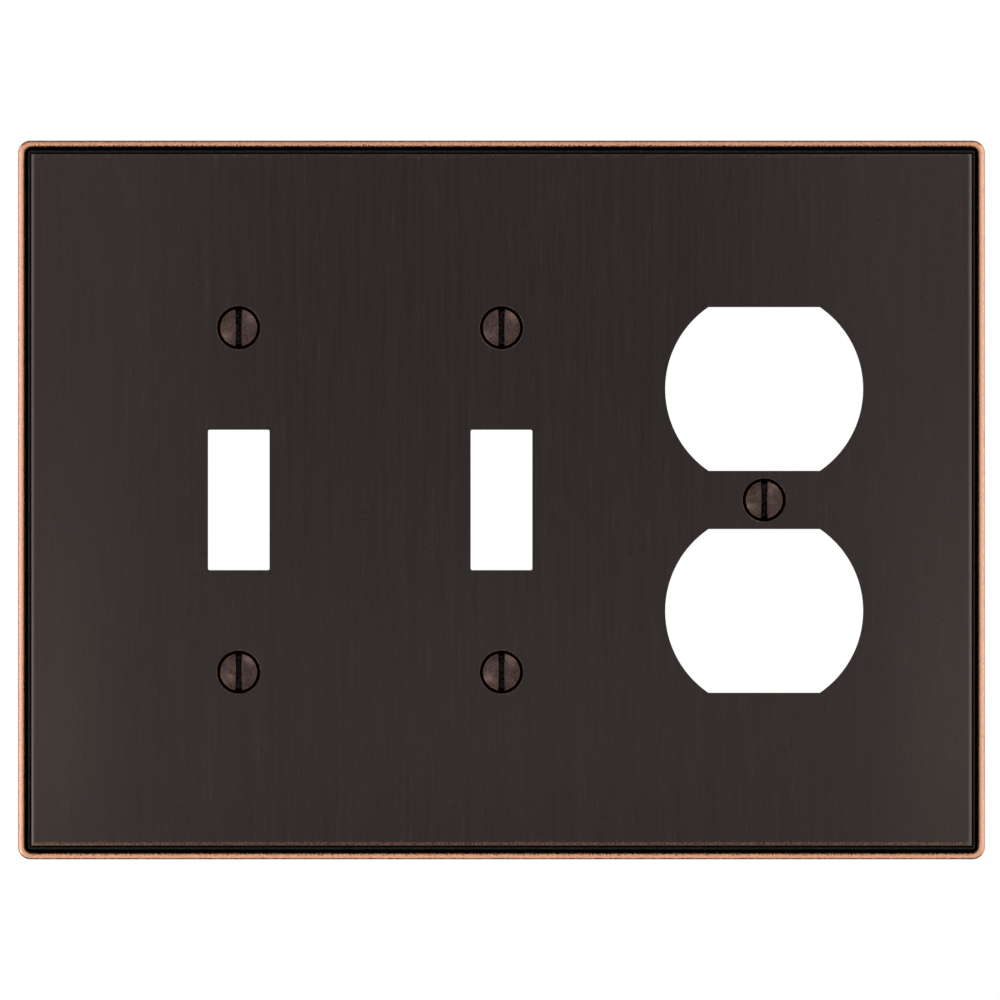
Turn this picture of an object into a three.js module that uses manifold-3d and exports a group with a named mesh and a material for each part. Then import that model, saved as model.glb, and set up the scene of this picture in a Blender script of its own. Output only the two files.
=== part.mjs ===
// A three-gang wall plate cover for two toggle switches and one duplex outlet, in millimetres.
//
// One die-cast plate with a stepped border, and the five oval-head screws that hold it to the
// straps of the devices in the wall box. Every piece is modelled lying on its back: x runs to
// the right along the plate, y up the plate, and z out from the wall. The exported group stands
// the plate up on its wall, so the finished part has +X right, +Z up and +Y into the wall, and
// its origin is the centre of the plate on the wall plane.
import * as THREE from "three";
import { mergeVertices } from "three/addons/utils/BufferGeometryUtils.js";
import Module from "manifold-3d";

const wasm = await Module();
wasm.setup();

// ---- Driving dimensions ----

const PLATE_WIDTH = 169.5;
const PLATE_HEIGHT = 126;
const PLATE_CORNER_RADIUS = 2.2;
const LEAST_CORNER = 0.1; // the radius of the sharpest corners
const PLATE_DEPTH = 5.8; // wall plane to face

// Standard device spacings.
const GANG_PITCH = 46.04; // 1-13/16 in between neighbouring devices
const SWITCH_SCREW_SPACING = 60.33; // 2-3/8 in between a toggle switch's two plate screws
const OUTLET_SPACING = 38.9; // 1-17/32 in between a duplex outlet's two faces

// Stepped border. Each inset is measured in from the plate's outline.
const BEAD_WIDTH = 1.3;
const BEAD_TOP = 3.6;
const BEAD_ROUNDING = 0.5;
const CREVICE_FLOOR = 2.5;
const CREVICE_WIDTH = 0.3;
const LEDGE_TOP = 4.2;
const LEDGE_WIDTH = 0.37;
const RISER_DRAFT = 0.18; // how far the ledge's riser leans in over its height
const FACE_DRAFT = 0.25; // how far the face's riser leans in over its height
const FACE_ROUNDING = 0.3;

// Hollow back.
const FLANGE_WIDTH = 3.4; // the flat rim that lies on the wall
const FACE_THICKNESS = 1.6;
const POCKET_FILLET = 0.8;
const BOSS_RADIUS = 4.8;
const BOSS_END = 1.5; // height of the bosses' flat ends above the wall
const COLLAR_WIDTH = 1.4;
const COLLAR_END = 2.8;
const RIB_WIDTH = 1.6;
const RIB_END = 2.4;

// Openings.
const TOGGLE_WIDTH = 10.8;
const TOGGLE_HEIGHT = 24.6;
const TOGGLE_CORNER = 0.3;
const OUTLET_RADIUS = 17.35;
const OUTLET_HALF_HEIGHT = 14.35;
const SCREW_HOLE_RADIUS = 1.95;
const COUNTERSINK_RADIUS = 3.85;

// Plate screw, number 6 with 32 threads to the inch, slotted oval head, half an inch long.
const HEAD_RADIUS = 3.27;
const HEAD_LAND = 0.12; // the thin upright edge between dome and cone
const DOME_HEIGHT = 0.95;
const CONE_SLOPE = Math.tan(THREE.MathUtils.degToRad(82 / 2)); // radius gained per unit of height
const SEAT_GAP = 0.13; // between the head's cone and the countersink, across the axis
const SHANK_RADIUS = 1.75;
const SCREW_LENGTH = 12.7; // from the head's widest edge to the tip
const TIP_CHAMFER = 0.5;
const SLOT_WIDTH = 1.1;
const SLOT_DEPTH = 1.55;

// Smoothness of the facets, and how far a cutter runs past what it cuts.
const CORNER_STEPS = 3;
const OUTLET_STEPS = 10;
const ROUND_STEPS = 24;
const DOME_STEPS = 5;
const PAST = 2;

// ---- Colours ----

const agedBronze = new THREE.MeshStandardMaterial({ color: 0x38322f, roughness: 0.45, metalness: 0.9 });
const screwBronze = new THREE.MeshStandardMaterial({ color: 0x5c4a44, roughness: 0.5, metalness: 0.9 });

// ---- Joining and cutting ----

function solid(geometry) {
  const bare = geometry.clone();
  bare.deleteAttribute("normal");
  bare.deleteAttribute("uv");
  const merged = mergeVertices(bare, 1e-4);
  const vertProperties = new Float32Array(merged.attributes.position.array);
  const triVerts = new Uint32Array(merged.index.array);
  return new wasm.Manifold(new wasm.Mesh({ numProp: 3, vertProperties, triVerts }));
}

function geometryOf(body) {
  const mesh = body.getMesh();
  const geometry = new THREE.BufferGeometry();
  geometry.setAttribute("position", new THREE.BufferAttribute(mesh.vertProperties, mesh.numProp));
  geometry.setIndex(new THREE.BufferAttribute(mesh.triVerts, 1));
  const faceted = geometry.toNonIndexed();
  faceted.computeVertexNormals();
  return faceted;
}

// ---- Outlines ----

function roundedRectangle(width, height, radius) {
  const x = width / 2 - radius;
  const y = height / 2 - radius;
  const quarter = Math.PI / 2;
  const outline = new THREE.Shape();
  outline.moveTo(x + radius, -y);
  outline.lineTo(x + radius, y);
  outline.absarc(x, y, radius, 0, quarter);
  outline.lineTo(-x, y + radius);
  outline.absarc(-x, y, radius, quarter, 2 * quarter);
  outline.lineTo(-x - radius, -y);
  outline.absarc(-x, -y, radius, 2 * quarter, 3 * quarter);
  outline.lineTo(x, -y - radius);
  outline.absarc(x, -y, radius, 3 * quarter, 4 * quarter);
  return outline;
}

// The plate's outline drawn in all round by an inset. Its corners stay round enough to be drawn
// in again by the edge that its solid gets.
function plateOutline(inset, edge = { inward: 0 }) {
  const radius = Math.max(PLATE_CORNER_RADIUS - inset, edge.inward + LEAST_CORNER);
  return roundedRectangle(PLATE_WIDTH - 2 * inset, PLATE_HEIGHT - 2 * inset, radius);
}

// A circle with its top and bottom cut flat, the face of one outlet, grown all round.
function outletOutline(grown) {
  const radius = OUTLET_RADIUS + grown;
  const flat = Math.asin((OUTLET_HALF_HEIGHT + grown) / radius);
  const outline = new THREE.Shape();
  outline.absarc(0, 0, radius, -flat, flat);
  outline.absarc(0, 0, radius, Math.PI - flat, Math.PI + flat);
  outline.closePath();
  return outline;
}

// ---- Simple solids ----

const SQUARE_EDGE = { inward: 0, height: 0, steps: 1 };

// An outline raised from bottom to top. Its top edge can be drawn in over the last of its height.
function raised(outline, bottom, top, edge = SQUARE_EDGE, curveSegments = CORNER_STEPS) {
  const sloped = edge.inward > 0;
  const spare = sloped ? edge.height + PAST : 0;
  const geometry = new THREE.ExtrudeGeometry(outline, {
    depth: top - bottom - edge.height + spare,
    curveSegments,
    bevelEnabled: sloped,
    bevelThickness: edge.height,
    bevelSize: edge.inward,
    bevelOffset: -edge.inward,
    bevelSegments: edge.steps,
  });
  geometry.translate(0, 0, bottom - spare);
  return sloped ? solid(geometry).subtract(everythingBelow(bottom)) : solid(geometry);
}

function everythingBelow(height) {
  const depth = 40;
  const block = new THREE.BoxGeometry(2 * PLATE_WIDTH, 2 * PLATE_HEIGHT, depth);
  block.translate(0, 0, height - depth / 2);
  return solid(block);
}

// A profile of [radius, height] points turned about the z axis.
function turned(profile, steps = ROUND_STEPS) {
  const points = profile.map(([radius, height]) => new THREE.Vector2(radius, height));
  const geometry = new THREE.LatheGeometry(points, steps);
  geometry.rotateX(Math.PI / 2);
  return solid(geometry);
}

function at(body, [x, y]) {
  return body.translate([x, y, 0]);
}

// ---- Where things are on the plate ----

const switchCentres = [[-GANG_PITCH, 0], [0, 0]];
const outletGangCentre = [GANG_PITCH, 0];
const outletCentres = [1, -1].map((side) => [GANG_PITCH, (side * OUTLET_SPACING) / 2]);
const ribPlaces = [[-GANG_PITCH / 2, 0], [GANG_PITCH / 2, 0]];

const screwPlaces = {};
switchCentres.forEach(([x, y], i) => {
  screwPlaces[`switch_${i + 1}_upper_screw`] = [x, y + SWITCH_SCREW_SPACING / 2];
  screwPlaces[`switch_${i + 1}_lower_screw`] = [x, y - SWITCH_SCREW_SPACING / 2];
});
screwPlaces.outlet_screw = outletGangCentre;

// ---- Cover plate ----

// The raised border in steps: a half-round bead, a crevice, a narrow ledge and the face.
function steppedSlab() {
  const base = raised(plateOutline(0), 0, CREVICE_FLOOR);

  const ring = plateOutline(0);
  ring.holes.push(plateOutline(BEAD_WIDTH));
  const rounding = { inward: BEAD_ROUNDING, height: BEAD_ROUNDING, steps: 4 };
  const bead = raised(ring, CREVICE_FLOOR - 1, BEAD_TOP, rounding);

  const ledgeFoot = BEAD_WIDTH + CREVICE_WIDTH;
  const ledgeRiser = { inward: RISER_DRAFT, height: LEDGE_TOP - CREVICE_FLOOR, steps: 1 };
  const ledge = raised(plateOutline(ledgeFoot, ledgeRiser), CREVICE_FLOOR - 1, LEDGE_TOP, ledgeRiser);

  const faceFoot = ledgeFoot + RISER_DRAFT + LEDGE_WIDTH;
  const shoulder = PLATE_DEPTH - FACE_ROUNDING;
  const faceRiser = { inward: FACE_DRAFT, height: shoulder - LEDGE_TOP, steps: 1 };
  const lowerFace = raised(plateOutline(faceFoot, faceRiser), LEDGE_TOP - 1, shoulder, faceRiser);
  const faceEdge = { inward: FACE_ROUNDING, height: FACE_ROUNDING, steps: 3 };
  const shoulderOutline = plateOutline(faceFoot + FACE_DRAFT, faceEdge);
  const upperFace = raised(shoulderOutline, shoulder - 1, PLATE_DEPTH, faceEdge);

  return base.add(bead).add(ledge).add(lowerFace).add(upperFace);
}

// The hollow behind the face, with a fillet where its sides meet its ceiling.
function pocket() {
  const ceiling = PLATE_DEPTH - FACE_THICKNESS;
  const outline = roundedRectangle(PLATE_WIDTH - 2 * FLANGE_WIDTH, PLATE_HEIGHT - 2 * FLANGE_WIDTH, 1);
  return raised(outline, -PAST, ceiling, { inward: POCKET_FILLET, height: POCKET_FILLET, steps: 2 });
}

// What stands up inside the pocket: screw bosses, collars round the openings, and two ribs.
function backStructure() {
  const rooted = PLATE_DEPTH - FACE_THICKNESS + 0.5;
  const boss = turned([[0, BOSS_END], [BOSS_RADIUS, BOSS_END], [BOSS_RADIUS, rooted], [0, rooted]]);
  const grown = 2 * COLLAR_WIDTH;
  const toggleFrame = roundedRectangle(TOGGLE_WIDTH + grown, TOGGLE_HEIGHT + grown, COLLAR_WIDTH);
  const toggleCollar = raised(toggleFrame, COLLAR_END, rooted);
  const outletFrame = outletOutline(COLLAR_WIDTH);
  const outletCollar = raised(outletFrame, COLLAR_END, rooted, SQUARE_EDGE, OUTLET_STEPS);
  const ribLength = PLATE_HEIGHT - 2 * FLANGE_WIDTH + 1;
  const rib = raised(roundedRectangle(RIB_WIDTH, ribLength, 0.3), RIB_END, rooted);
  return [
    ...Object.values(screwPlaces).map((place) => at(boss, place)),
    ...switchCentres.map((place) => at(toggleCollar, place)),
    ...outletCentres.map((place) => at(outletCollar, place)),
    ...ribPlaces.map((place) => at(rib, place)),
  ];
}

// Everything that is cut right through the plate.
function openings() {
  const top = PLATE_DEPTH + PAST;
  const toggle = raised(roundedRectangle(TOGGLE_WIDTH, TOGGLE_HEIGHT, TOGGLE_CORNER), -PAST, top);
  const outlet = raised(outletOutline(0), -PAST, top, SQUARE_EDGE, OUTLET_STEPS);
  const coneHeight = (COUNTERSINK_RADIUS - SCREW_HOLE_RADIUS) / CONE_SLOPE;
  const screwHole = turned([
    [0, -PAST],
    [SCREW_HOLE_RADIUS, -PAST],
    [SCREW_HOLE_RADIUS, PLATE_DEPTH - coneHeight],
    [COUNTERSINK_RADIUS, PLATE_DEPTH],
    [COUNTERSINK_RADIUS, top],
    [0, top],
  ]);
  return [
    ...switchCentres.map((place) => at(toggle, place)),
    ...outletCentres.map((place) => at(outlet, place)),
    ...Object.values(screwPlaces).map((place) => at(screwHole, place)),
  ];
}

function coverPlate() {
  const hollow = steppedSlab().subtract(pocket());
  const strengthened = backStructure().reduce((body, piece) => body.add(piece), hollow);
  const cut = openings().reduce((body, hole) => body.subtract(hole), strengthened);
  const plate = new THREE.Mesh(geometryOf(cut), agedBronze);
  plate.name = "cover_plate";
  return plate;
}

// ---- Screws ----

// The head's cone lies SEAT_GAP inside the countersink, which sets the height of the cone's top.
const CONE_TOP = PLATE_DEPTH - (COUNTERSINK_RADIUS - HEAD_RADIUS - SEAT_GAP) / CONE_SLOPE;

// One screw on the z axis, standing in a plate that lies on the plane z = 0.
function screwGeometry() {
  const edge = CONE_TOP + HEAD_LAND;
  const neck = CONE_TOP - (HEAD_RADIUS - SHANK_RADIUS) / CONE_SLOPE;
  const tip = edge - SCREW_LENGTH;
  const crown = edge + DOME_HEIGHT;
  const sphere = (HEAD_RADIUS ** 2 + DOME_HEIGHT ** 2) / (2 * DOME_HEIGHT);
  const reach = Math.asin(HEAD_RADIUS / sphere);
  const dome = Array.from({ length: DOME_STEPS }, (_, i) => {
    const angle = reach * (1 - (i + 1) / DOME_STEPS);
    return [sphere * Math.sin(angle), crown - sphere * (1 - Math.cos(angle))];
  });
  const profile = [
    [0, tip],
    [SHANK_RADIUS - TIP_CHAMFER, tip],
    [SHANK_RADIUS, tip + TIP_CHAMFER],
    [SHANK_RADIUS, neck],
    [HEAD_RADIUS, CONE_TOP],
    [HEAD_RADIUS, edge],
    ...dome,
  ];
  const slot = new THREE.BoxGeometry(SLOT_WIDTH, 2 * HEAD_RADIUS + PAST, SLOT_DEPTH + PAST);
  slot.translate(0, 0, crown + PAST - (SLOT_DEPTH + PAST) / 2);
  return geometryOf(turned(profile).subtract(solid(slot)));
}

function screws() {
  const geometry = screwGeometry();
  return Object.entries(screwPlaces).map(([name, [x, y]]) => {
    const screw = new THREE.Mesh(geometry, screwBronze);
    screw.name = name;
    screw.position.set(x, y, 0);
    return screw;
  });
}

// ---- Assembly ----

const wallPlateCover = new THREE.Group();
wallPlateCover.add(coverPlate(), ...screws());
wallPlateCover.rotation.x = Math.PI / 2; // z, out from the wall, becomes -Y
export default wallPlateCover;
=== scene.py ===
import math

import bmesh
import bpy
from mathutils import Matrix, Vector


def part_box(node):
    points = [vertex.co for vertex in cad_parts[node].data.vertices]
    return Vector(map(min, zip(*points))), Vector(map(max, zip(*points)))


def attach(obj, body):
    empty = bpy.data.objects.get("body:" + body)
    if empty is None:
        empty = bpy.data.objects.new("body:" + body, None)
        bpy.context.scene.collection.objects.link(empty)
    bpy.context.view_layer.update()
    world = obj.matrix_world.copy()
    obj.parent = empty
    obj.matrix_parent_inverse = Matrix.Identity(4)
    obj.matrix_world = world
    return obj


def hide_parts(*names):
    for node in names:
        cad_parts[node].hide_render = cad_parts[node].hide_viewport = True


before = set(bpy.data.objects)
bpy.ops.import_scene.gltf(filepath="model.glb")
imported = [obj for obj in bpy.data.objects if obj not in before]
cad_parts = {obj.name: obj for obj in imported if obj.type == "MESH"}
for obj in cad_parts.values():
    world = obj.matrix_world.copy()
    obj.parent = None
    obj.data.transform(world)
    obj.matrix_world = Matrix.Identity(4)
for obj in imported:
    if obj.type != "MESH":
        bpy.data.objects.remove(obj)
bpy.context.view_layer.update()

# ---- Cover plate: the casting ----
# One zinc alloy casting with a hollow back. Its border steps up from a rounded bead over a deep
# crevice and a narrow ledge to the flat face. It is plated with copper, blackened, brushed up
# and down so that copper shows again where the wheel bites, and lacquered.

MM = 0.001
LOW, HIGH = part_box("cover_plate")
WIDTH = HIGH.x - LOW.x
HEIGHT = HIGH.z - LOW.z
DEPTH = -LOW.y
CORNER_RADIUS = 2.2 * MM
BEAD_FOOT = 2.9 * MM
BEAD_RISE = 0.7 * MM
BEAD_WIDTH = 1.3 * MM
LEDGE_TOP = 4.2 * MM
CREVICE_FLOOR = 2.5 * MM
SHOULDER = 0.35 * MM
SHOULDER_INSET = 2.4 * MM
FLANGE_WIDTH = 3.4 * MM
CEILING = DEPTH - 1.6 * MM
POCKET_CORNER = 1 * MM
POCKET_FILLET = 0.8 * MM
BEAD_STEPS = 14
BEAD_SQUARENESS = 0.8  # 1 would be a true half circle
CORNER_MARGIN = 0.1 * MM  # how much of a corner's radius is left where the corner closes
CORNER_REACH = 0.2 * MM
LEAST_FRONT = 1000 * MM**2  # the flat front is larger than this, and nothing else is
PAST = 3 * MM  # how far a cutting tool runs past what it cuts
HAIR = 0.001 * MM  # the least distance that counts
CLOSE = 0.01 * MM  # points nearer than this lie at one height
SQUARE_ON = 0.999  # a face whose normal reaches this looks straight along an axis
MOSTLY = 0.9  # an edge or a normal that runs along an axis by this share of its length

GANG_PITCH = 46.04 * MM
OUTLET_SPACING = 38.9 * MM
TOGGLE_SIZE = (10.8 * MM, 24.6 * MM)
TOGGLE_CORNER = 0.3 * MM
OUTLET_RADIUS = 17.35 * MM
OUTLET_HALF_HEIGHT = 14.35 * MM
SCREW_NODES = [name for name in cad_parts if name.endswith("_screw")]


def only(piece):
    """Leaves this piece alone selected and active."""
    bpy.ops.object.select_all(action="DESELECT")
    piece.select_set(True)
    bpy.context.view_layer.objects.active = piece


def settle(name):
    """Names the primitive that was just added and puts its place into its mesh."""
    piece = bpy.context.object
    piece.name = name
    piece.data.name = name
    only(piece)
    bpy.ops.object.transform_apply(location=True, rotation=True, scale=True)
    return piece


def block(name, low, high):
    """A box between two corners."""
    centre = [(a + b) / 2 for a, b in zip(low, high)]
    size = [b - a for a, b in zip(low, high)]
    bpy.ops.mesh.primitive_cube_add(size=1, location=centre, scale=size)
    return settle(name)


def drum(name, radius, back, front, sides=96, mouth=None):
    """A round bar or cone on the Y axis, from height back to height front above the wall."""
    bpy.ops.mesh.primitive_cone_add(
        vertices=sides,
        radius1=radius,
        radius2=radius if mouth is None else mouth,
        depth=front - back,
        location=(0, -(front + back) / 2, 0),
        rotation=(math.pi / 2, 0, 0),
    )
    return settle(name)


def pick(piece, kind, wanted):
    """In edit mode, selects the faces, edges or vertices that are wanted and nothing else."""
    bpy.ops.mesh.select_mode(type=kind)
    bpy.ops.mesh.select_all(action="DESELECT")
    mesh = bmesh.from_edit_mesh(piece.data)
    for part in {"FACE": mesh.faces, "EDGE": mesh.edges, "VERT": mesh.verts}[kind]:
        part.select = wanted(part)
    mesh.select_flush_mode()
    bmesh.update_edit_mesh(piece.data)


def edit(piece):
    """Opens a piece in edit mode."""
    only(piece)
    bpy.ops.object.mode_set(mode="EDIT")


def done():
    """Leaves edit mode."""
    bpy.ops.object.mode_set(mode="OBJECT")


def round_edges(piece, wanted, radius, segments):
    """Rounds the wanted edges of a piece."""
    edit(piece)
    pick(piece, "EDGE", wanted)
    bpy.ops.mesh.bevel(offset=radius, segments=segments, affect="EDGES")
    done()


def runs_through(edge):
    """An edge that runs along Y, through the plate."""
    a, b = (vert.co for vert in edge.verts)
    return abs(a.y - b.y) > MOSTLY * (a - b).length


def raise_face(piece, wanted, profile):
    """Carries a face along a profile of (inset, height) points, with one inset for each step."""
    pick(piece, "FACE", wanted)
    for (inset, height), (next_inset, next_height) in zip(profile, profile[1:]):
        bpy.ops.mesh.inset(thickness=next_inset - inset, depth=next_height - height)


def quarter(steps):
    """Angles that divide a right angle evenly."""
    return [math.pi / 2 * i / steps for i in range(steps + 1)]


def faces_front(face):
    """The large flat face in front."""
    return face.normal.y < -SQUARE_ON and face.calc_area() > LEAST_FRONT


def bead_profile():
    """The bead: half round, but a little flatter on its crown than a true circle."""
    half = BEAD_WIDTH / 2
    points = []
    for i in range(BEAD_STEPS + 1):
        turn = math.pi * i / BEAD_STEPS
        across = half * abs(math.cos(turn)) ** BEAD_SQUARENESS
        rise = BEAD_RISE * max(math.sin(turn), 0) ** BEAD_SQUARENESS
        points.append((half - math.copysign(across, math.cos(turn)), BEAD_FOOT + rise))
    return points


def border_profile():
    """The border from the outer wall to the flat face, as (inset, height) points. Each hollow and
    each edge has a short slope or two in place of a sharp line."""
    crevice = [(1.33 * MM, 2.62 * MM), (1.4 * MM, CREVICE_FLOOR)]
    ledge_foot = [(1.53 * MM, CREVICE_FLOOR), (1.6 * MM, 2.6 * MM)]
    ledge = [(1.74 * MM, 4.1 * MM), (1.77 * MM, 4.17 * MM), (1.84 * MM, LEDGE_TOP)]
    riser = [(2.12 * MM, LEDGE_TOP), (2.18 * MM, 4.26 * MM)]
    shoulder = [
        (SHOULDER_INSET + SHOULDER * (1 - math.cos(a)), DEPTH - SHOULDER + SHOULDER * math.sin(a))
        for a in quarter(6)
    ]
    return bead_profile() + crevice + ledge_foot + ledge + riser + shoulder


def stepped_slab():
    """The solid slab: a box with round corners whose front face is carried along the border.
    Its corners grow sharper inwards, and close to points where their radius is nearly used up."""
    slab = block("plate_casting", (LOW.x, -BEAD_FOOT, LOW.z), (HIGH.x, 0, HIGH.z))
    round_edges(slab, runs_through, CORNER_RADIUS, segments=16)
    profile = border_profile()
    limit = CORNER_RADIUS - CORNER_MARGIN
    closing = next(i for i, (inset, _) in enumerate(profile) if inset > limit)
    inset, height = profile[closing]
    edit(slab)
    raise_face(slab, faces_front, profile[: closing + 1])
    for x, z in ((1, 1), (1, -1), (-1, 1), (-1, -1)):
        corner = Vector((x * (WIDTH / 2 - inset), -height, z * (HEIGHT / 2 - inset)))
        pick(slab, "VERT", lambda vert: (vert.co - corner).length < CORNER_REACH)
        bpy.context.scene.cursor.location = corner
        bpy.ops.mesh.merge(type="CURSOR")
    bpy.context.scene.cursor.location = (0, 0, 0)
    raise_face(slab, faces_front, profile[closing:])
    done()
    return slab


def combine(piece, operation, tool):
    """Joins a tool to a piece or cuts it away, and throws the tool away."""
    only(piece)
    modifier = piece.modifiers.new(operation, "BOOLEAN")
    modifier.operation = operation
    modifier.solver = "MANIFOLD"
    modifier.object = tool
    bpy.ops.object.modifier_apply(modifier=modifier.name)
    bpy.data.meshes.remove(tool.data)


def copy_at(piece, x, z):
    """A copy of a piece, with a mesh of its own, moved along the wall."""
    only(piece)
    bpy.ops.object.duplicate()
    copy = bpy.context.object
    copy.location = (x, 0, z)
    return settle(piece.name + "_copy")


def divide(piece):
    """Divides a piece at the middle of each gang, so that no opening lies inside one face."""
    edit(piece)
    for x in (-GANG_PITCH, 0, GANG_PITCH):
        bpy.ops.mesh.select_all(action="SELECT")
        bpy.ops.mesh.bisect(plane_co=(x, 0, 0), plane_no=(1, 0, 0), threshold=HAIR)
    done()


def pocket():
    """The hollow behind the face, with round corners and a fillet round its ceiling."""
    x = WIDTH / 2 - FLANGE_WIDTH
    z = HEIGHT / 2 - FLANGE_WIDTH
    hollow = block("pocket", (-x, -CEILING, -z), (x, PAST, z))
    round_edges(hollow, runs_through, POCKET_CORNER, segments=6)

    def at_ceiling(edge):
        return all(vert.co.y < -CEILING + CLOSE for vert in edge.verts)

    round_edges(hollow, at_ceiling, POCKET_FILLET, segments=5)
    divide(hollow)
    return hollow


FOOT_FILLET = 0.5 * MM
TIP_ROUNDING = 0.2 * MM
DRAFT = 0.06 * MM
ROOT = CEILING + 0.3 * MM  # what stands in the pocket is rooted this high in the face
SINK = 0.01 * MM  # how far a joined piece reaches into what it joins


def standing(end):
    """The profile of what stands up in the pocket: a fillet, a drafted wall and a rounded edge."""
    rise = CEILING + SINK - end
    foot = [(FOOT_FILLET * math.sin(a), FOOT_FILLET * (1 - math.cos(a))) for a in quarter(4)]
    inset = FOOT_FILLET + DRAFT
    tip = [
        (inset + TIP_ROUNDING * (1 - math.cos(a)), rise - TIP_ROUNDING + TIP_ROUNDING * math.sin(a))
        for a in quarter(3)
    ]
    return foot + tip


def faces_back(face):
    """Any face that looks straight back at the wall."""
    return face.normal.y > SQUARE_ON


def stand_up(piece, end):
    """Raises the back of a piece rooted in the face to its end above the wall."""
    edit(piece)
    raise_face(piece, faces_back, standing(end))
    done()
    return piece


def outlet_outline(name, radius, half_height, back, front):
    """A round bar with its top and bottom cut flat, as the face of one outlet."""
    piece = drum(name, radius, back, front, sides=192)
    edit(piece)
    for side in (1, -1):
        bpy.ops.mesh.select_all(action="SELECT")
        bpy.ops.mesh.bisect(
            plane_co=(0, 0, side * half_height),
            plane_no=(0, 0, side),
            use_fill=True,
            clear_outer=True,
            threshold=HAIR,
        )
    done()
    return piece


def upright_block(name, width, height, corner, back, front):
    """A box on the plate's centre whose four edges along Y are rounded."""
    piece = block(name, (-width / 2, -front, -height / 2), (width / 2, -back, height / 2))
    round_edges(piece, runs_through, corner, segments=8)
    return piece


TOGGLE_PLACES = [(-GANG_PITCH, 0), (0, 0)]
OUTLET_PLACES = [(GANG_PITCH, OUTLET_SPACING / 2), (GANG_PITCH, -OUTLET_SPACING / 2)]
RIB_PLACES = [(-GANG_PITCH / 2, 0), (GANG_PITCH / 2, 0)]
COLLAR_WIDTH = 1.4 * MM
COLLAR_FOOT = COLLAR_WIDTH + FOOT_FILLET
COLLAR_END = 2.8 * MM
BOSS_RADIUS = 4.8 * MM
BOSS_END = 1.5 * MM
RIB_WIDTH = 1.6 * MM
RIB_END = 2.4 * MM
RIB_CORNER = 1 * MM


def middle(node):
    """Where a node lies on the wall: the middle of its box."""
    low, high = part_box(node)
    return (low.x + high.x) / 2, (low.z + high.z) / 2


SCREW_PLACES = [middle(node) for node in SCREW_NODES]


def back_structure():
    """Each piece that stands in the pocket, with the places where it stands."""
    below = CEILING + SINK
    boss = drum("boss", BOSS_RADIUS + FOOT_FILLET, below, ROOT)
    width, height = (size + 2 * COLLAR_FOOT for size in TOGGLE_SIZE)
    toggle_collar = upright_block("toggle_collar", width, height, COLLAR_FOOT, below, ROOT)
    outlet_collar = outlet_outline(
        "outlet_collar", OUTLET_RADIUS + COLLAR_FOOT, OUTLET_HALF_HEIGHT + COLLAR_FOOT, below, ROOT
    )
    rib_width = RIB_WIDTH + 2 * FOOT_FILLET
    rib_length = HEIGHT - 2 * (FLANGE_WIDTH - RIB_CORNER)
    rib = upright_block("rib", rib_width, rib_length, RIB_CORNER, below, ROOT)
    return [
        (stand_up(rib, RIB_END), RIB_PLACES),
        (stand_up(toggle_collar, COLLAR_END), TOGGLE_PLACES),
        (stand_up(outlet_collar, COLLAR_END), OUTLET_PLACES),
        (stand_up(boss, BOSS_END), SCREW_PLACES),
    ]


HOLE_RADIUS = 1.95 * MM
COUNTERSINK_RADIUS = 3.85 * MM
CONE_SLOPE = math.tan(math.radians(82 / 2))


def openings():
    """Each cutter that goes through the plate, with the places where it cuts."""
    front = DEPTH + PAST
    toggle = upright_block("toggle_opening", *TOGGLE_SIZE, TOGGLE_CORNER, -PAST, front)
    outlet = outlet_outline("outlet_opening", OUTLET_RADIUS, OUTLET_HALF_HEIGHT, -PAST, front)
    hole = drum("screw_hole", HOLE_RADIUS, -PAST, front)
    cone_foot = DEPTH - (COUNTERSINK_RADIUS - HOLE_RADIUS) / CONE_SLOPE
    mouth = HOLE_RADIUS + (front - cone_foot) * CONE_SLOPE
    countersink = drum("countersink", HOLE_RADIUS, cone_foot, front, mouth=mouth)
    return [
        (toggle, TOGGLE_PLACES),
        (outlet, OUTLET_PLACES),
        (hole, SCREW_PLACES),
        (countersink, SCREW_PLACES),
    ]


def work_all(piece, operation, tools):
    """Joins or cuts every tool at every one of its places."""
    for tool, places in tools:
        for x, z in places:
            combine(piece, operation, copy_at(tool, x, z))
        bpy.data.meshes.remove(tool.data)


SHARP = math.radians(35)
EDGE_BREAK = 0.1 * MM
RIM_BREAK = 0.15 * MM


def sharp_at(height, margin):
    """Picks the sharp edges at one height above the wall that lie a margin inside the outline."""

    def wanted(edge):
        if edge.calc_face_angle(0) < SHARP:
            return False
        return all(
            abs(vert.co.y + height) < CLOSE
            and abs(vert.co.x) < WIDTH / 2 - margin
            and abs(vert.co.z) < HEIGHT / 2 - margin
            for vert in edge.verts
        )

    return wanted


plate = stepped_slab()
divide(plate)
combine(plate, "DIFFERENCE", pocket())
work_all(plate, "UNION", back_structure())
work_all(plate, "DIFFERENCE", openings())
for height in (DEPTH, COLLAR_END, BOSS_END):
    round_edges(plate, sharp_at(height, FLANGE_WIDTH), EDGE_BREAK, segments=3)
round_edges(plate, sharp_at(0, -PAST), RIM_BREAK, segments=3)


def smooth(piece, angle):
    """Smooth shading up to an angle, with flat faces kept flat."""
    only(piece)
    bpy.ops.object.shade_smooth_by_angle(angle=math.radians(angle))
    modifier = piece.modifiers.new("flat_faces", "WEIGHTED_NORMAL")
    modifier.keep_sharp = True
    modifier.weight = 100
    bpy.ops.object.modifier_apply(modifier=modifier.name)


smooth(plate, angle=40)


def add_node(tree, kind, values=None, **settings):
    """Adds a shader node, and fills its inputs with values or with what other nodes put out."""
    node = tree.nodes.new("ShaderNode" + kind)
    for name, setting in settings.items():
        setattr(node, name, setting)
    for name, value in (values or {}).items():
        if isinstance(value, bpy.types.NodeSocket):
            tree.links.new(value, node.inputs[name])
        else:
            node.inputs[name].default_value = value
    return node


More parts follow.
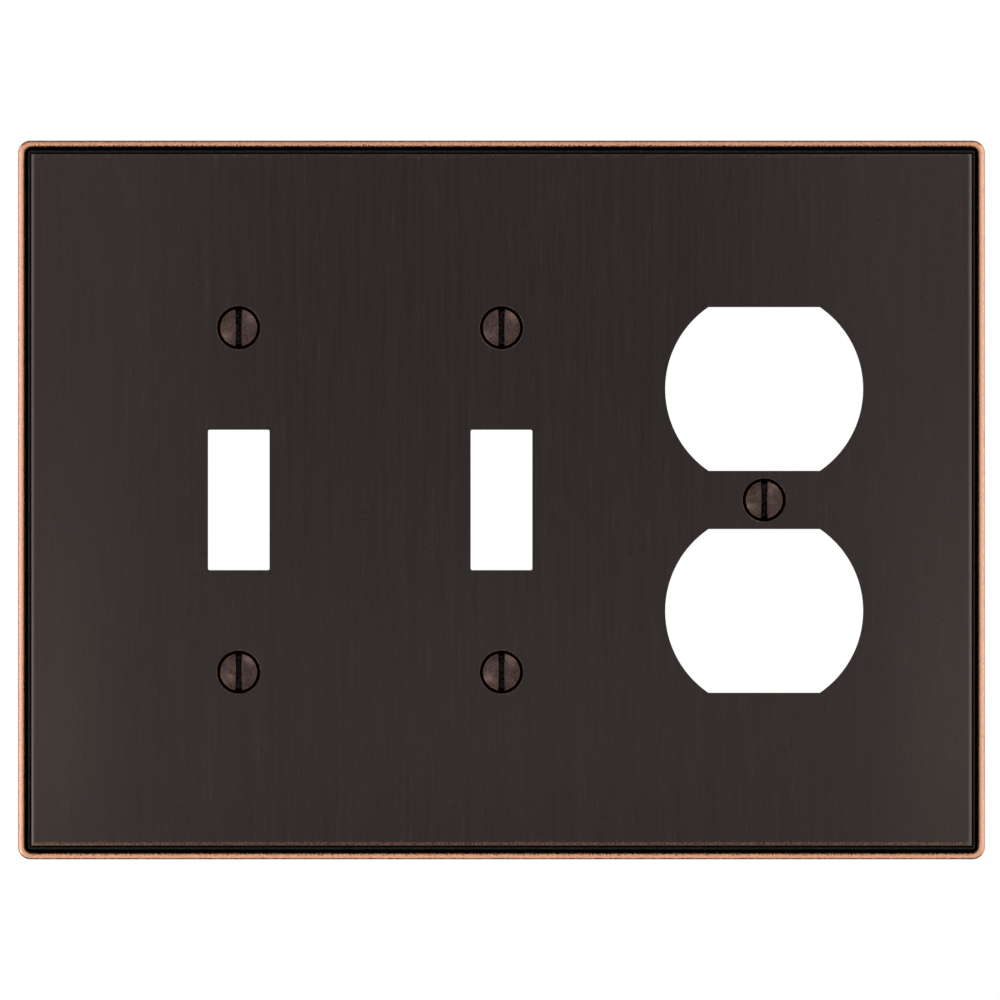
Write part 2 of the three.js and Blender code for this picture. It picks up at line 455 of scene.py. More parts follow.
def calc(tree, operation, *values):
    """The result of one Math node."""
    return add_node(tree, "Math", dict(enumerate(values)), operation=operation).outputs[0]


def ramp(tree, value, low, high, bottom=0, top=1):
    """A smooth change from bottom, where the value is low, to top, where it is high."""
    limits = {"From Min": low, "From Max": high, "To Min": bottom, "To Max": top}
    node = add_node(tree, "MapRange", {"Value": value, **limits}, interpolation_type="SMOOTHSTEP")
    return node.outputs["Result"]


def noise(tree, vector, detail=3):
    """Even noise with one lump to each unit of the vector."""
    values = {"Vector": vector, "Scale": 1, "Detail": detail, "Roughness": 0.6}
    return add_node(tree, "TexNoise", values).outputs[0]


def over(tree, under, colour, mask):
    """Lays a colour over another where the mask is 1."""
    return add_node(tree, "Mix", {0: mask, 6: under, 7: colour}, data_type="RGBA").outputs[2]


def start_group(name, inputs, outputs):
    """An empty shader group with named inputs and outputs."""
    group = bpy.data.node_groups.new(name, "ShaderNodeTree")
    for label, value in inputs.items():
        kind = "NodeSocketVector" if isinstance(value, tuple) else "NodeSocketFloat"
        group.interface.new_socket(label, in_out="INPUT", socket_type=kind).default_value = value
    for label in outputs:
        group.interface.new_socket(label, in_out="OUTPUT", socket_type="NodeSocketFloat")
    given = group.nodes.new("NodeGroupInput").outputs
    return group, given, group.nodes.new("NodeGroupOutput").inputs


def border_group():
    """How far a point lies inside the outline, its top or bottom edge, and its sides, in mm."""
    names = ["Inside", "From Top Or Bottom", "From Side", "Height"]
    group, given, result = start_group("border", {"Vector": (0, 0, 0)}, names)
    place = add_node(group, "SeparateXYZ", {"Vector": given["Vector"]}).outputs
    side = calc(group, "SUBTRACT", WIDTH / 2, calc(group, "ABSOLUTE", place["X"]))
    rise = calc(group, "SUBTRACT", HEIGHT / 2, calc(group, "ABSOLUTE", place["Z"]))
    nearest = calc(group, "MINIMUM", side, rise)
    short_of = [calc(group, "SUBTRACT", CORNER_RADIUS, d) for d in (side, rise)]
    corner = [calc(group, "MAXIMUM", d, 0) for d in short_of]
    squares = [calc(group, "MULTIPLY", d, d) for d in corner]
    reach = calc(group, "SQRT", calc(group, "ADD", *squares))
    in_corner = calc(group, "GREATER_THAN", calc(group, "MINIMUM", *corner), 0)
    rounding = calc(group, "SUBTRACT", reach, calc(group, "MAXIMUM", *corner))
    inside = calc(group, "SUBTRACT", nearest, calc(group, "MULTIPLY", in_corner, rounding))
    height = calc(group, "MULTIPLY", place["Y"], -1)
    for label, distance in zip(names, (inside, rise, side, height)):
        group.links.new(calc(group, "DIVIDE", distance, MM), result[label])
    return group


def speckle_group():
    """Ragged specks. Grain is their size in mm and Coverage is how much of the surface they take."""
    inputs = {"Vector": (0, 0, 0), "Grain": 0.3, "Coverage": 0.3, "Softness": 0.05}
    group, given, result = start_group("speckle", inputs, ["Mask"])
    per_metre = calc(group, "DIVIDE", 1 / MM, given["Grain"])
    values = {0: given["Vector"], "Scale": per_metre}
    lumps = noise(group, add_node(group, "VectorMath", values, operation="SCALE").outputs[0])
    level = calc(group, "MULTIPLY_ADD", given["Coverage"], -0.4, 0.7)
    low = calc(group, "SUBTRACT", level, given["Softness"])
    high = calc(group, "ADD", level, given["Softness"])
    group.links.new(ramp(group, lumps, low, high), result["Mask"])
    return group


def streaks_group():
    """Brush marks up and down the plate, Width and Length in mm, as a value from 0 to 1."""
    inputs = {"Vector": (0, 0, 0), "Width": 0.3, "Length": 30.0}
    group, given, result = start_group("streaks", inputs, ["Streaks"])
    place = add_node(group, "SeparateXYZ", {"Vector": given["Vector"]}).outputs
    across = calc(group, "DIVIDE", 1 / MM, given["Width"])
    along = calc(group, "DIVIDE", 1 / MM, given["Length"])
    scaled = {
        "X": calc(group, "MULTIPLY", place["X"], across),
        "Y": calc(group, "MULTIPLY", place["Y"], across),
        "Z": calc(group, "MULTIPLY", place["Z"], along),
    }
    marks = noise(group, add_node(group, "CombineXYZ", scaled).outputs[0])
    group.links.new(ramp(group, marks, 0.3, 0.7), result["Streaks"])
    return group


border = border_group()
speckle = speckle_group()
streaks = streaks_group()


def start_finish(name):
    """A bare metal finish: its material, its tree, its shader and its object coordinates."""
    finish = bpy.data.materials.new(name)
    finish.use_nodes = True
    tree = finish.node_tree
    shader = tree.nodes["Principled BSDF"]
    shader.inputs["Metallic"].default_value = 1
    return finish, tree, shader, add_node(tree, "TexCoord").outputs["Object"]


def specks(tree, vector, grain, coverage, softness):
    """The mask of the speckle group."""
    values = {"Vector": vector, "Grain": grain, "Coverage": coverage, "Softness": softness}
    return add_node(tree, "Group", values, node_tree=speckle).outputs["Mask"]


def brush_marks(tree, vector, width, length):
    """The value of the streaks group."""
    values = {"Vector": vector, "Width": width, "Length": length}
    return add_node(tree, "Group", values, node_tree=streaks).outputs["Streaks"]


def stretched(tree, vector, times):
    """Coordinates that draw a pattern out up and down the plate."""
    return add_node(tree, "Mapping", {"Vector": vector, "Scale": (1, 1, 1 / times)}).outputs[0]


def relief(tree, shader, pattern, depth):
    """Presses a pattern into the surface to a depth."""
    bump = add_node(tree, "Bump", {"Height": pattern, "Strength": 1, "Distance": depth})
    tree.links.new(bump.outputs["Normal"], shader.inputs["Normal"])


BLACKENED = (0.032, 0.0262, 0.0257, 1)
BLACKENED_LIGHT = (0.038, 0.0306, 0.0298, 1)
# Painted light: the tone the face is painted towards its foot and its sides
FACE_PAINTED_LIGHT = (0.065, 0.053, 0.048, 1)
BLACKENED_DULL = (0.06, 0.044, 0.038, 1)
# Grey specks on the face, and the painted highlight on its side shoulders
GREY_SPECKS_AND_HIGHLIGHT = (0.135, 0.115, 0.103, 1)
BARE_COPPER = (0.94, 0.48, 0.295, 1)
# Painted highlight on the crown of the bead at the left and right
PAINTED_HIGHLIGHT_COPPER = (1.0, 0.63, 0.44, 1)
TARNISHED_COPPER = (0.50, 0.235, 0.145, 1)
BROWN_COPPER = (0.17, 0.083, 0.058, 1)
# Black oxide, made near pure black as painted shade in the deep hollows
BLACK_OXIDE_AND_SHADE = (0.0012, 0.0011, 0.0011, 1)
LEDGE_BLACK = (0.030, 0.0265, 0.0235, 1)
DARK_LINE = (0.07, 0.05, 0.043, 1)
WORN_BROWN = (0.068, 0.047, 0.039, 1)
OXIDE_SHEEN = (0.1, 0.1, 0.1, 1)


def brushed_face():
    """Black finish brushed up and down, worn to copper at the ends; painted light at its sides and
    foot.
    """
    finish, tree, shader, coords = start_finish("brushed_face")
    edge = add_node(tree, "Group", {"Vector": coords}, node_tree=border).outputs
    place = add_node(tree, "SeparateXYZ", {"Vector": coords}).outputs
    fine = brush_marks(tree, coords, width=0.22, length=22)
    broad = brush_marks(tree, coords, width=1.4, length=70)
    marks = calc(tree, "MULTIPLY_ADD", fine, 0.6, calc(tree, "MULTIPLY", broad, 0.4))
    colour = over(tree, BLACKENED, BLACKENED_LIGHT, marks)
    # Painted light: the face is painted lighter towards its foot and towards its sides, less so near
    # its ends, in place of the soft boxes' reflection.
    foot = ramp(tree, place["Z"], -45 * MM, 35 * MM, bottom=1, top=0)
    short_of_end = ramp(tree, edge["From Top Or Bottom"], 2, 22, bottom=0.62, top=1)
    foot = calc(tree, "MULTIPLY", foot, short_of_end)
    wide = calc(tree, "MULTIPLY_ADD", foot, -0.7, 1)
    wide = calc(tree, "MULTIPLY", wide, ramp(tree, edge["From Side"], 6, 58, bottom=0.4, top=0))
    narrow = calc(tree, "MULTIPLY", foot, ramp(tree, edge["From Side"], 4, 24, bottom=0.6, top=0))
    thin = calc(tree, "MULTIPLY_ADD", foot, 0.28, calc(tree, "ADD", wide, narrow))
    colour = over(tree, colour, FACE_PAINTED_LIGHT, thin)
    warm = brush_marks(tree, coords, width=0.5, length=18)
    warm = calc(tree, "MULTIPLY", ramp(tree, warm, 0.4, 0.9), 0.025)
    colour = over(tree, colour, BROWN_COPPER, warm)
    scratches = stretched(tree, coords, times=26)
    hairlines = specks(tree, scratches, grain=0.3, coverage=0.14, softness=0.04)
    colour = over(tree, colour, BROWN_COPPER, calc(tree, "MULTIPLY", hairlines, 0.11))
    pits = specks(tree, coords, grain=0.6, coverage=0.05, softness=0.03)
    colour = over(tree, colour, BLACK_OXIDE_AND_SHADE, calc(tree, "MULTIPLY", pits, 0.3))
    lint = specks(tree, coords, grain=0.45, coverage=0.06, softness=0.03)
    colour = over(tree, colour, GREY_SPECKS_AND_HIGHLIGHT, calc(tree, "MULTIPLY", lint, 0.12))
    rub = ramp(tree, place["Z"], -30 * MM, 30 * MM, bottom=0.46, top=0.26)
    wear = specks(tree, stretched(tree, coords, times=1.4), grain=0.24, coverage=rub, softness=0.1)
    band = ramp(tree, edge["From Top Or Bottom"], 2.8, 3.2, bottom=1, top=0)
    band = calc(tree, "MULTIPLY", band, ramp(tree, edge["From Top Or Bottom"], 2.45, 2.7))
    band = calc(tree, "MULTIPLY", band, ramp(tree, place["Z"], -30 * MM, 30 * MM, bottom=0.42, top=0.2))
    colour = over(tree, colour, TARNISHED_COPPER, calc(tree, "MULTIPLY", wear, band))
    drawn_out = stretched(tree, coords, times=6)
    sparse = calc(tree, "MULTIPLY", rub, 0.45)
    tails = specks(tree, drawn_out, grain=0.3, coverage=sparse, softness=0.05)
    tail_band = ramp(tree, edge["From Top Or Bottom"], 2.9, 4.2, bottom=0.35, top=0)
    colour = over(tree, colour, BROWN_COPPER, calc(tree, "MULTIPLY", tails, tail_band))
    # Painted highlight: the shoulders at the left and right, and the edge of the face next to them, are
    # painted grey.
    shine = ramp(tree, edge["From Side"], 2.5, 3.15, bottom=1, top=0)
    colour = over(tree, colour, GREY_SPECKS_AND_HIGHLIGHT, shine)
    tree.links.new(colour, shader.inputs["Base Color"])
    tree.links.new(ramp(tree, marks, 0, 1, bottom=0.34, top=0.46), shader.inputs["Roughness"])
    relief(tree, shader, marks, depth=0.004 * MM)
    return finish


def rubbed_bead():
    """Copper rubbed bare on the crown of the bead, ragged and black towards the crevice."""
    finish, tree, shader, coords = start_finish("rubbed_bead")
    edge = add_node(tree, "Group", {"Vector": coords}, node_tree=border).outputs
    cloud = specks(tree, coords, grain=0.55, coverage=0.45, softness=0.2)
    colour = over(tree, BARE_COPPER, TARNISHED_COPPER, calc(tree, "MULTIPLY", cloud, 0.35))
    flecks = specks(tree, coords, grain=0.28, coverage=0.12, softness=0.05)
    colour = over(tree, colour, TARNISHED_COPPER, calc(tree, "MULTIPLY", flecks, 0.6))
    # Painted highlight: the crown of the bead along the left and right sides is painted pale copper.
    crown = ramp(tree, edge["From Side"], 0.15, 0.35)
    crown = calc(tree, "MULTIPLY", crown, ramp(tree, edge["From Side"], 0.4, 0.85, bottom=0.9, top=0))
    colour = over(tree, colour, PAINTED_HIGHLIGHT_COPPER, crown)
    ragged = specks(tree, coords, grain=0.3, coverage=0.5, softness=0.16)
    inner = calc(tree, "MULTIPLY_ADD", ragged, 0.7, edge["Inside"])
    inner = calc(tree, "SUBTRACT", inner, ramp(tree, edge["From Side"], 1.4, 2.4, bottom=0.5, top=0.15))
    colour = over(tree, colour, BROWN_COPPER, ramp(tree, inner, 1.08, 1.3))
    colour = over(tree, colour, BLACK_OXIDE_AND_SHADE, ramp(tree, inner, 1.36, 1.55))
    outer = calc(tree, "MULTIPLY_ADD", ragged, -0.12, edge["Inside"])
    end_line = ramp(tree, edge["From Top Or Bottom"], 0.3, 1.2, bottom=1, top=0.4)
    line = ramp(tree, outer, 0.06, 0.24, bottom=1, top=0)
    colour = over(tree, colour, DARK_LINE, calc(tree, "MULTIPLY", line, end_line))
    rise = add_node(tree, "SeparateXYZ", {"Vector": coords}).outputs["Z"]
    shade = ramp(tree, outer, 0.1, 0.65, bottom=0.7, top=0)
    shade = calc(tree, "MULTIPLY", shade, ramp(tree, rise, 0, 40 * MM))
    outer_half = ramp(tree, edge["From Top Or Bottom"], 0.6, 1.2, bottom=1, top=0)
    shade = calc(tree, "MULTIPLY", shade, outer_half)
    colour = over(tree, colour, BROWN_COPPER, shade)
    low = calc(tree, "MULTIPLY_ADD", ragged, -0.9, edge["Height"])
    colour = over(tree, colour, BROWN_COPPER, ramp(tree, low, 0.6, 2.4, bottom=0.9, top=0))
    tree.links.new(colour, shader.inputs["Base Color"])
    tree.links.new(ramp(tree, ragged, 0, 1, bottom=0.42, top=0.56), shader.inputs["Roughness"])
    relief(tree, shader, ragged, depth=0.01 * MM)
    return finish


def black_recess():
    """Black oxide left thick where the brush can't reach, thinner on top of the ledge, and painted
    shade in the hollows.
    """
    finish, tree, shader, coords = start_finish("black_recess")
    edge = add_node(tree, "Group", {"Vector": coords}, node_tree=border).outputs
    grain = specks(tree, coords, grain=0.4, coverage=0.5, softness=0.2)
    on_ledge = calc(
        tree,
        "MULTIPLY",
        ramp(tree, edge["Inside"], 1.72, 1.82),
        ramp(tree, edge["Inside"], 2.12, 2.2, bottom=1, top=0),
    )
    # The crevice, the riser and the walls of the holes and openings are near pure black: black oxide,
    # and painted shade of these deep hollows.
    colour = over(tree, BLACK_OXIDE_AND_SHADE, LEDGE_BLACK, on_ledge)
    colour = over(tree, colour, BLACK_OXIDE_AND_SHADE, calc(tree, "MULTIPLY", grain, 0.3))
    tree.links.new(colour, shader.inputs["Base Color"])
    tree.links.new(ramp(tree, grain, 0, 1, bottom=0.5, top=0.65), shader.inputs["Roughness"])
    shader.inputs["Specular Tint"].default_value = OXIDE_SHEEN
    relief(tree, shader, grain, depth=0.01 * MM)
    return finish


def worn_lip():
    """The sharp mouth of a countersink, worn to a thin brown line with a little copper in it."""
    finish, tree, shader, coords = start_finish("worn_lip")
    patches = specks(tree, coords, grain=2.4, coverage=0.5, softness=0.1)
    colour = over(tree, WORN_BROWN, TARNISHED_COPPER, calc(tree, "MULTIPLY", patches, 0.12))
    flecks = specks(tree, coords, grain=0.4, coverage=0.5, softness=0.15)
    colour = over(tree, colour, BLACKENED, calc(tree, "MULTIPLY", flecks, 0.6))
    tree.links.new(colour, shader.inputs["Base Color"])
    tree.links.new(ramp(tree, flecks, 0, 1, bottom=0.35, top=0.5), shader.inputs["Roughness"])
    relief(tree, shader, flecks, depth=0.01 * MM)
    return finish


def cast_back():
    """The back as cast and plated: never brushed, so it is dull, mottled and finely pitted."""
    finish, tree, shader, coords = start_finish("cast_back")
    clouds = specks(tree, coords, grain=14, coverage=0.5, softness=0.25)
    colour = over(tree, BLACKENED, BLACKENED_DULL, clouds)
    bloom = specks(tree, coords, grain=3, coverage=0.35, softness=0.15)
    colour = over(tree, colour, BROWN_COPPER, calc(tree, "MULTIPLY", bloom, 0.3))
    grain = specks(tree, coords, grain=0.35, coverage=0.5, softness=0.25)
    colour = over(tree, colour, BLACKENED, calc(tree, "MULTIPLY", grain, 0.5))
    edge = add_node(tree, "Group", {"Vector": coords}, node_tree=border).outputs
    rub = ramp(tree, edge["Height"], 0.05, 0.35, bottom=0.38, top=0)
    scuffs = specks(tree, coords, grain=0.7, coverage=rub, softness=0.16)
    colour = over(tree, colour, TARNISHED_COPPER, calc(tree, "MULTIPLY", scuffs, 0.5))
    tree.links.new(colour, shader.inputs["Base Color"])
    tree.links.new(ramp(tree, bloom, 0, 1, bottom=0.62, top=0.45), shader.inputs["Roughness"])
    relief(tree, shader, grain, depth=0.02 * MM)
    return finish


ALONG = 0.02  # a face whose normal leans less than this runs straight through the plate
FORWARD = 0.1  # a face whose normal leans forward more than this looks into the room
BACK_RIM = 0.1 * MM  # how far the rubbed back rim reaches up the outer wall
SLACK = 0.1 * MM  # how far a face may lie below the level where its finish starts


def inside_outline(place):
    """How far a point lies inside the plate's outline."""
    side = WIDTH / 2 - abs(place.x)
    rise = HEIGHT / 2 - abs(place.z)
    if max(side, rise) < CORNER_RADIUS:
        return CORNER_RADIUS - math.hypot(CORNER_RADIUS - side, CORNER_RADIUS - rise)
    return min(side, rise)


def height_of(face):
    """How high above the wall the middle of a face lies."""
    return -face.calc_center_median().y


def in_hole(face):
    """The walls of the screw holes and countersinks."""
    place = face.calc_center_median()
    reach = COUNTERSINK_RADIUS + EDGE_BREAK
    near = any(math.hypot(place.x - x, place.z - z) < reach for x, z in SCREW_PLACES)
    return near and face.normal.y > -SQUARE_ON


def on_front(face):
    """The flat face, its shoulder and the broken edges of its openings."""
    high = height_of(face) > DEPTH - SHOULDER - EDGE_BREAK
    return high and abs(face.normal.y) > ALONG and not in_hole(face)


def on_lip(face):
    """The broken edges at the mouths of the countersinks."""
    return in_hole(face) and height_of(face) > DEPTH - EDGE_BREAK and -face.normal.y > FORWARD


def on_bead(face):
    """The bead and the plate's outer wall."""
    inside = inside_outline(face.calc_center_median())
    return inside < BEAD_WIDTH and height_of(face) > BACK_RIM


def in_recess(face):
    """The crevice, the ledge, the riser, and the walls of every opening."""
    height = height_of(face)
    inside = inside_outline(face.calc_center_median())
    border_steps = BEAD_WIDTH < inside < SHOULDER_INSET and height > CREVICE_FLOOR - SLACK
    upright = abs(face.normal.y) < ALONG and inside > FLANGE_WIDTH
    opening_wall = upright and height > CEILING - SLACK
    return border_steps or opening_wall or (in_hole(face) and height > COLLAR_END)


def finish_faces(piece, finish, wanted):
    """Gives the wanted faces a finish of their own."""
    piece.data.materials.append(finish)
    edit(piece)
    pick(piece, "FACE", wanted)
    piece.active_material_index = len(piece.data.materials) - 1
    bpy.ops.object.material_slot_assign()
    done()


plate.data.materials.clear()
plate.data.materials.append(cast_back())
finish_faces(plate, brushed_face(), on_front)
finish_faces(plate, rubbed_bead(), on_bead)
finish_faces(plate, black_recess(), in_recess)
finish_faces(plate, worn_lip(), on_lip)

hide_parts("cover_plate")
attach(plate, "plate")

# ---- Plate screws ----
# Five slotted oval head machine screws, number 6 by half an inch, of steel plated to match the
# plate and tumbled. Each sits in its countersink and threads into the strap of its device.

HEAD_RADIUS = 3.27 * MM
CROWN = 6.3523 * MM
DOME_RISE = 0.95 * MM
LAND = 0.12 * MM
LAND_EDGE = CROWN - DOME_RISE
CONE_TOP = LAND_EDGE - LAND
SHANK_RADIUS = 1.75 * MM
NECK = CONE_TOP - (HEAD_RADIUS - SHANK_RADIUS) / CONE_SLOPE
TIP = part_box(SCREW_NODES[0])[1].y
TIP_CHAMFER = 0.5 * MM
PITCH = 25.4 * MM / 32
THREAD_DEPTH = 0.5413 * PITCH
THREAD_STEPS = 48
SLOT_WIDTH = 1.1 * MM
SLOT_FLOOR = CROWN - 1.55 * MM
SLOT_EDGE = 0.08 * MM
SHANK_IN_HEAD = 0.3 * MM
TRIM_PAST_NECK = 2 * SHANK_IN_HEAD
BALL = (HEAD_RADIUS**2 + DOME_RISE**2) / (2 * DOME_RISE)
BALL_CENTRE = CROWN - BALL
RIM_TILT = math.asin(HEAD_RADIUS / BALL)
RIM_ROUNDING = 0.07 * MM
RIM_START = LAND_EDGE - RIM_ROUNDING * math.tan((math.pi / 2 - RIM_TILT) / 2)
RIM_STEPS = 3
DOME_STEPS = 16


def dome_profile():
    """The crown of the head, part of a ball, from its worn rim nearly to its middle."""
    turns = [(math.pi / 2 - RIM_TILT) * i / RIM_STEPS for i in range(RIM_STEPS + 1)]
    rim = [
        (RIM_ROUNDING * (1 - math.cos(a)), RIM_START + RIM_ROUNDING * math.sin(a)) for a in turns
    ]
    tilts = [RIM_TILT * (1 - i / DOME_STEPS) for i in range(1, DOME_STEPS)]
    dome = [(HEAD_RADIUS - BALL * math.sin(a), BALL_CENTRE + BALL * math.cos(a)) for a in tilts]
    return rim + dome


def screw_head():
    """The head: a thin land, domed in front and coned behind down to the neck."""
    head = drum("screw_head", HEAD_RADIUS, CONE_TOP, RIM_START)
    edit(head)
    raise_face(head, lambda face: face.normal.y < -MOSTLY, dome_profile())
    cone = [(0, 0), (HEAD_RADIUS - SHANK_RADIUS, CONE_TOP - NECK)]
    raise_face(head, faces_back, cone)
    done()
    return head


def thread_profile():
    """One turn of a unified thread, as (radius, distance along the screw)."""
    root = SHANK_RADIUS - THREAD_DEPTH
    crest = SHANK_RADIUS
    return [
        (root, 0),
        (root, PITCH / 4),
        (crest, PITCH * 9 / 16),
        (crest, PITCH * 11 / 16),
        (root, PITCH),
    ]


def thread(start, end):
    """A threaded bar on the Y axis, from y = start to y = end."""
    bpy.ops.mesh.primitive_plane_add(size=MM, location=(0, 0, 0))
    bar = bpy.context.object
    edit(bar)
    pick(bar, "VERT", lambda vert: True)
    bpy.ops.mesh.merge(type="CENTER")
    turns = thread_profile()
    first = start - 2 * PITCH
    bpy.ops.transform.translate(value=(turns[0][0], first, 0))
    for (radius, along), (next_radius, next_along) in zip(turns, turns[1:]):
        step = (next_radius - radius, next_along - along, 0)
        bpy.ops.mesh.extrude_vertices_move(TRANSFORM_OT_translate={"value": step})
    done()
    settle("thread")
    winding = bar.modifiers.new("winding", "SCREW")
    winding.axis = "Y"
    winding.screw_offset = PITCH
    winding.iterations = math.ceil((end - first) / PITCH) + 2
    winding.steps = THREAD_STEPS
    winding.render_steps = THREAD_STEPS
    bpy.ops.object.modifier_apply(modifier=winding.name)
    edit(bar)
    bpy.ops.mesh.select_all(action="SELECT")
    bpy.ops.mesh.remove_doubles(threshold=HAIR)
    for y, side in ((start, -1), (end, 1)):
        bpy.ops.mesh.select_all(action="SELECT")
        bpy.ops.mesh.bisect(
            plane_co=(0, y, 0),
            plane_no=(0, side, 0),
            use_fill=True,
            clear_outer=True,
            threshold=HAIR,
        )
    bpy.ops.mesh.select_all(action="SELECT")
    bpy.ops.mesh.normals_make_consistent(inside=False)
    done()
    return bar


def trimming_bar():
    """What the thread is trimmed to: a bar with a chamfered tip that ends inside the head."""
    bar = drum("trimming_bar", SHANK_RADIUS + SINK, -TIP, NECK + TRIM_PAST_NECK)

    def at_tip(edge):
        return all(vert.co.y > TIP - SINK for vert in edge.verts)

    round_edges(bar, at_tip, TIP_CHAMFER, segments=1)
    return bar


def edge_cone(side):
    """A cone along X, about the middle of the ball, that takes one edge of the slot off evenly.
    It reaches a little past the middle, so that it overlaps the one on the other side."""
    overlap = 0.2 * MM
    length = HEAD_RADIUS + PAST + overlap
    edge_reach = math.sqrt(BALL**2 - SLOT_WIDTH**2 / 4)
    start = edge_reach - SLOT_EDGE - SLOT_WIDTH / 2 - overlap
    bpy.ops.mesh.primitive_cone_add(
        vertices=192,
        radius1=start,
        radius2=start + length,
        depth=length,
        location=(side * (length / 2 - overlap), -BALL_CENTRE, 0),
        rotation=(0, side * math.pi / 2, 0),
    )
    return settle("edge_cone")


screw = screw_head()
slot = block(
    "slot",
    (-SLOT_WIDTH / 2, -CROWN - PAST, -HEAD_RADIUS - PAST),
    (SLOT_WIDTH / 2, -SLOT_FLOOR, HEAD_RADIUS + PAST),
)
combine(screw, "DIFFERENCE", slot)
worn_to = edge_cone(1)
combine(worn_to, "UNION", edge_cone(-1))
combine(screw, "INTERSECT", worn_to)
shank = thread(-NECK - SHANK_IN_HEAD, TIP + SINK)
combine(shank, "INTERSECT", trimming_bar())
combine(screw, "UNION", shank)


CROWN_DARK = (0.046, 0.032, 0.031, 1)
CROWN_PALE = (0.092, 0.066, 0.062, 1)
COPPER_FLECK = (0.21, 0.09, 0.055, 1)
DULL_COPPER = (0.22, 0.11, 0.073, 1)
SLOT_BLACK = (0.019, 0.0165, 0.018, 1)
THREAD_DARK = (0.1, 0.07, 0.058, 1)
THREAD_PALE = (0.19, 0.13, 0.1, 1)


def tumbled_crown():
    """Mottled brown plating on the crown, with copper showing through in flecks."""
    finish, tree, shader, coords = start_finish("tumbled_crown")
    clouds = specks(tree, coords, grain=1.3, coverage=0.5, softness=0.25)
    colour = over(tree, CROWN_DARK, CROWN_PALE, clouds)
    flecks = specks(tree, coords, grain=0.3, coverage=0.26, softness=0.1)
    colour = over(tree, colour, COPPER_FLECK, calc(tree, "MULTIPLY", flecks, 0.6))
    pits = specks(tree, coords, grain=0.5, coverage=0.18, softness=0.06)
    colour = over(tree, colour, BLACKENED, calc(tree, "MULTIPLY", pits, 0.6))
    tree.links.new(colour, shader.inputs["Base Color"])
    tree.links.new(ramp(tree, clouds, 0, 1, bottom=0.42, top=0.34), shader.inputs["Roughness"])
    relief(tree, shader, flecks, depth=0.012 * MM)
    return finish


def worn_screw_edge():
    """Edges of the crown where tumbling has bared the copper."""
    finish, tree, shader, coords = start_finish("worn_screw_edge")
    dull = specks(tree, coords, grain=0.6, coverage=0.42, softness=0.12)
    colour = over(tree, DULL_COPPER, BROWN_COPPER, dull)
    tree.links.new(colour, shader.inputs["Base Color"])
    tree.links.new(ramp(tree, dull, 0, 1, bottom=0.3, top=0.45), shader.inputs["Roughness"])
    relief(tree, shader, dull, depth=0.01 * MM)
    return finish


def black_slot():
    """Black oxide held in the slot and under the head."""
    finish, tree, shader, coords = start_finish("black_slot")
    grain = specks(tree, coords, grain=0.35, coverage=0.45, softness=0.15)
    colour = over(tree, SLOT_BLACK, BLACK_OXIDE_AND_SHADE, grain)
    tree.links.new(colour, shader.inputs["Base Color"])
    tree.links.new(ramp(tree, grain, 0, 1, bottom=0.45, top=0.6), shader.inputs["Roughness"])
    shader.inputs["Specular Tint"].default_value = OXIDE_SHEEN
    relief(tree, shader, grain, depth=0.01 * MM)
    return finish


def plated_thread():
    """Thin brown plating on the thread, with a bloom of copper brown."""
    finish, tree, shader, coords = start_finish("plated_thread")
    grain = specks(tree, coords, grain=0.5, coverage=0.5, softness=0.2)
    colour = over(tree, THREAD_DARK, THREAD_PALE, grain)
    bloom = specks(tree, coords, grain=1.6, coverage=0.4, softness=0.15)
    colour = over(tree, colour, BROWN_COPPER, calc(tree, "MULTIPLY", bloom, 0.6))
    tree.links.new(colour, shader.inputs["Base Color"])
    tree.links.new(ramp(tree, grain, 0, 1, bottom=0.32, top=0.48), shader.inputs["Roughness"])
    relief(tree, shader, grain, depth=0.008 * MM)
    return finish


CROWN_LEAN = 0.5  # a face whose normal leans forward more than this is part of the crown
WORN_LEAN = 0.86  # and less than this, of the crown's worn edges


def on_crown(face):
    """The domed crown, down to its rim."""
    return height_of(face) > RIM_START and -face.normal.y > CROWN_LEAN


def on_edge(face):
    """The worn edges of the slot, and the rim with the outermost facets of the crown."""
    return height_of(face) > RIM_START and FORWARD < -face.normal.y < WORN_LEAN


def in_slot(face):
    """The slot's walls and floor, and the cone under the head."""
    side = abs(face.calc_center_median().x)
    wall = abs(side - SLOT_WIDTH / 2) < CLOSE and abs(face.normal.x) > MOSTLY
    floor = abs(height_of(face) - SLOT_FLOOR) < CLOSE and -face.normal.y > MOSTLY
    under = NECK < height_of(face) < LAND_EDGE
    return wall or floor or under


screw.data.materials.clear()
screw.data.materials.append(plated_thread())
finish_faces(screw, tumbled_crown(), on_crown)
finish_faces(screw, black_slot(), in_slot)
finish_faces(screw, worn_screw_edge(), on_edge)
smooth(screw, angle=35)

for node in SCREW_NODES:
    fitted = copy_at(screw, *middle(node))
    fitted.name = "finished_" + node
    fitted.data.name = fitted.name
    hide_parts(node)
    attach(fitted, node)
bpy.data.meshes.remove(screw.data)

# ---- Studio ----
# The plate hangs in a white room over a pale floor. Soft boxes stand at its lower left, at its
# upper right and level with both its edges. The camera is straight in front and far away, so
# that it sees none of the walls of the openings.

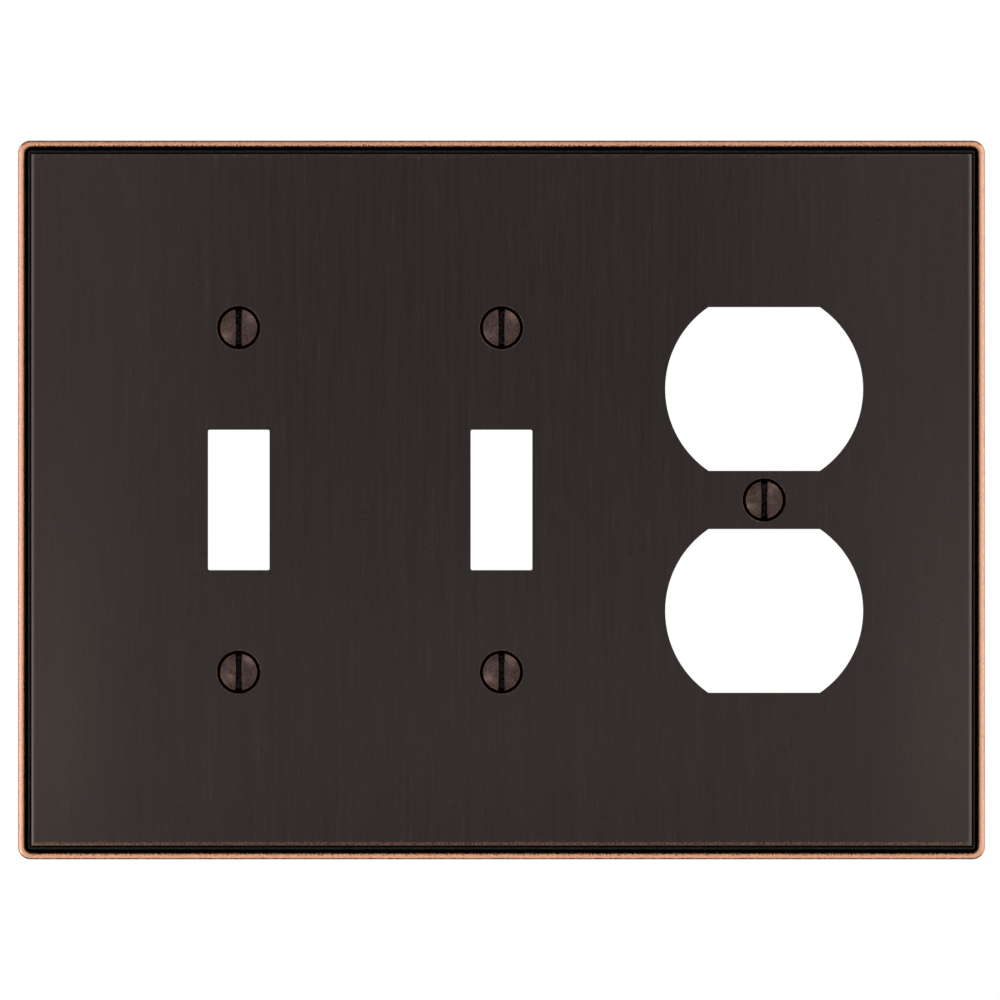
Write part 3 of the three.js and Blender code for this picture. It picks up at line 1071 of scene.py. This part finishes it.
FLOOR_LEVEL = -0.3
FLOOR_SIZE = 6
SPAN = 175.3 * MM
LENS = 1000
SENSOR = 36
OFF_CENTRE = (0.26 * MM, 0.01 * MM)
FAR_CLIP = 100
ROOM_LIGHT = 0.8
WHITE = (1, 1, 1, 1)
PAINT = (0.86, 0.86, 0.85, 1)
PAINT_LIGHT = (0.9, 0.9, 0.89, 1)


def pale_floor():
    """Smooth pale paint with a faint cloudiness."""
    finish, tree, shader, coords = start_finish("pale_floor")
    shader.inputs["Metallic"].default_value = 0
    clouds = specks(tree, coords, grain=90, coverage=0.5, softness=0.3)
    colour = over(tree, PAINT, PAINT_LIGHT, clouds)
    tree.links.new(colour, shader.inputs["Base Color"])
    tree.links.new(ramp(tree, clouds, 0, 1, bottom=0.6, top=0.7), shader.inputs["Roughness"])
    return finish


bpy.ops.mesh.primitive_plane_add(size=FLOOR_SIZE, location=(0, 0, FLOOR_LEVEL))
floor = settle("floor")
floor.data.materials.append(pale_floor())


def soft_box(name, place, size, watts):
    """A square soft box that faces the plate and isn't seen itself."""
    bpy.ops.object.light_add(type="AREA", location=place)
    lamp = bpy.context.object
    lamp.name = name
    lamp.data.size = size
    lamp.data.energy = watts
    lamp.visible_camera = False
    lamp.rotation_euler = (-Vector(place)).to_track_quat("-Z", "Y").to_euler()


soft_box("left_box", (-0.44, -0.4, -0.36), size=0.4, watts=2)
soft_box("upper_box", (0.3, -0.4, 0.4), size=0.3, watts=0.5)
soft_box("left_edge_box", (-0.6, -0.03, 0), size=0.3, watts=0.2)
soft_box("right_edge_box", (0.6, -0.03, 0), size=0.3, watts=0.4)

across, down = OFF_CENTRE
distance = BEAD_FOOT + SPAN * LENS / SENSOR
bpy.ops.object.camera_add(location=(-across, -distance, -down), rotation=(math.pi / 2, 0, 0))
camera = bpy.context.object
camera.data.lens = LENS
camera.data.sensor_width = SENSOR
camera.data.clip_end = FAR_CLIP
bpy.context.scene.camera = camera
bpy.context.scene.view_settings.view_transform = "Standard"

world = bpy.data.worlds.new("white_room")
bpy.context.scene.world = world
world.use_nodes = True
tree = world.node_tree
seen = add_node(tree, "LightPath").outputs["Is Camera Ray"]
strength = ramp(tree, seen, 0, 1, bottom=ROOM_LIGHT, top=1)
room = tree.nodes["Background"].inputs
tree.links.new(strength, room["Strength"])
room["Color"].default_value = WHITE
